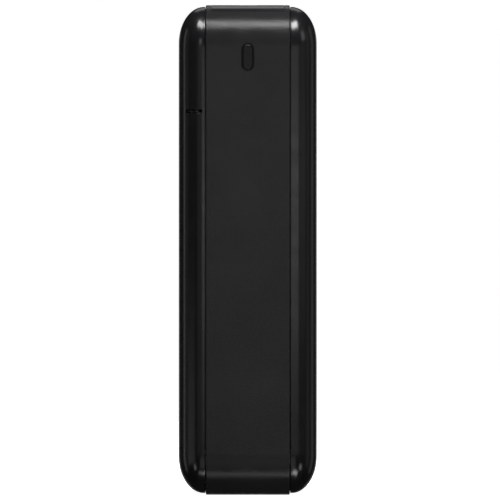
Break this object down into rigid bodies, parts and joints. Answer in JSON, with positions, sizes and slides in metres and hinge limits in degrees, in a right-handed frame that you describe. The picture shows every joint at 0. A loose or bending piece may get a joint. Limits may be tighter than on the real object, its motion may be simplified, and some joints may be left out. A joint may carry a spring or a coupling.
{
  "type": "power bank",
  "caption": "Thick slab-shaped power bank: matte frame band, two satin covers, sprung side button, slotted indicator and charging sockets in one end.",
  "frame": {"origin": "middle of the bottom end, on the face the pack stands on", "axes": "+Z along the length towards the sockets, -Y out of the button side, X through the thickness with the slotted front cover at -X"},
  "size_m": [0.04, 0.07, 0.142],
  "materials": {
    "frame_plastic": "fine spark-eroded texture, matte",
    "cover_plastic": "smooth satin gloss",
    "button_plastic": "smooth satin",
    "panel_plastic": "smooth gloss",
    "smoked_guide": "clear smoked, looks black when unlit",
    "led_resin": "milky resin",
    "circuit_board": "solder mask",
    "connector_steel": "plated sheet steel",
    "connector_tongue": "moulded",
    "chip_resin": "moulded epoxy",
    "inductor_ferrite": "matte ferrite",
    "capacitor_can": "drawn can",
    "cell_foil": "laminated pouch foil",
    "tab_metal": "nickel-plated strip",
    "foam": "closed-cell foam",
    "insulation_paper": "fibre paper",
    "lead_red": "silicone insulation",
    "lead_black": "silicone insulation",
    "screw_steel": "plated",
    "switch_resin": "moulded"
  },
  "bodies": {
    "body": {"battery_lead_negative": "lead_black", "battery_lead_positive": "lead_red", "boost_inductor": "inductor_ferrite", "button_board": "circuit_board", "button_board_screw_1": "screw_steel", "button_board_screw_2": "screw_steel", "button_lead": "lead_black", "capacitor_1": "capacitor_can", "capacitor_2": "capacitor_can", "cell_1": "cell_foil", "cell_2": "cell_foil", "cell_3": "cell_foil", "controller_chip": "chip_resin", "foam_pad_1": "foam", "foam_pad_2": "foam", "foam_pad_3": "foam", "foam_pad_4": "foam", "front_cover": "cover_plastic", "indicator_board": "circuit_board", "indicator_lead": "lead_black", "insulation_sheet": "insulation_paper", "light_guide": "smoked_guide", "main_board": "circuit_board", "main_board_screw_1": "screw_steel", "main_board_screw_2": "screw_steel", "mid_frame": "frame_plastic", "mosfet_1": "chip_resin", "mosfet_2": "chip_resin", "port_panel": "panel_plastic", "protection_board": "circuit_board", "protection_mosfet_1": "chip_resin", "protection_mosfet_2": "chip_resin", "rear_cover": "cover_plastic", "status_led_1": "led_resin", "status_led_2": "led_resin", "status_led_3": "led_resin", "tab_negative_1": "tab_metal", "tab_negative_2": "tab_metal", "tab_negative_3": "tab_metal", "tab_positive_1": "tab_metal", "tab_positive_2": "tab_metal", "tab_positive_3": "tab_metal", "tact_switch_body": "switch_resin", "thermistor": "chip_resin", "usb_a_1_shell": "connector_steel", "usb_a_1_tongue": "connector_tongue", "usb_a_2_shell": "connector_steel", "usb_a_2_tongue": "connector_tongue", "usb_c_shell": "connector_steel", "usb_c_tongue": "connector_tongue"},
    "button": {"power_button": "button_plastic"},
    "plunger": {"tact_switch_plunger": "button_plastic"}
  },
  "joints": [
    {"name": "button_press", "type": "slide", "parent": "body", "child": "button", "axis": [0, 1, 0], "range_m": [0, 0.00045], "stiffness_N_per_m": 2500, "springref_m": -0.0002},
    {"name": "plunger_press", "type": "slide", "parent": "body", "child": "plunger", "axis": [0, 1, 0], "range_m": [0, 0.00045]}
  ],
  "couplings": [
    {"joint": "plunger_press", "follows": "button_press", "ratio": 1}
  ]
}
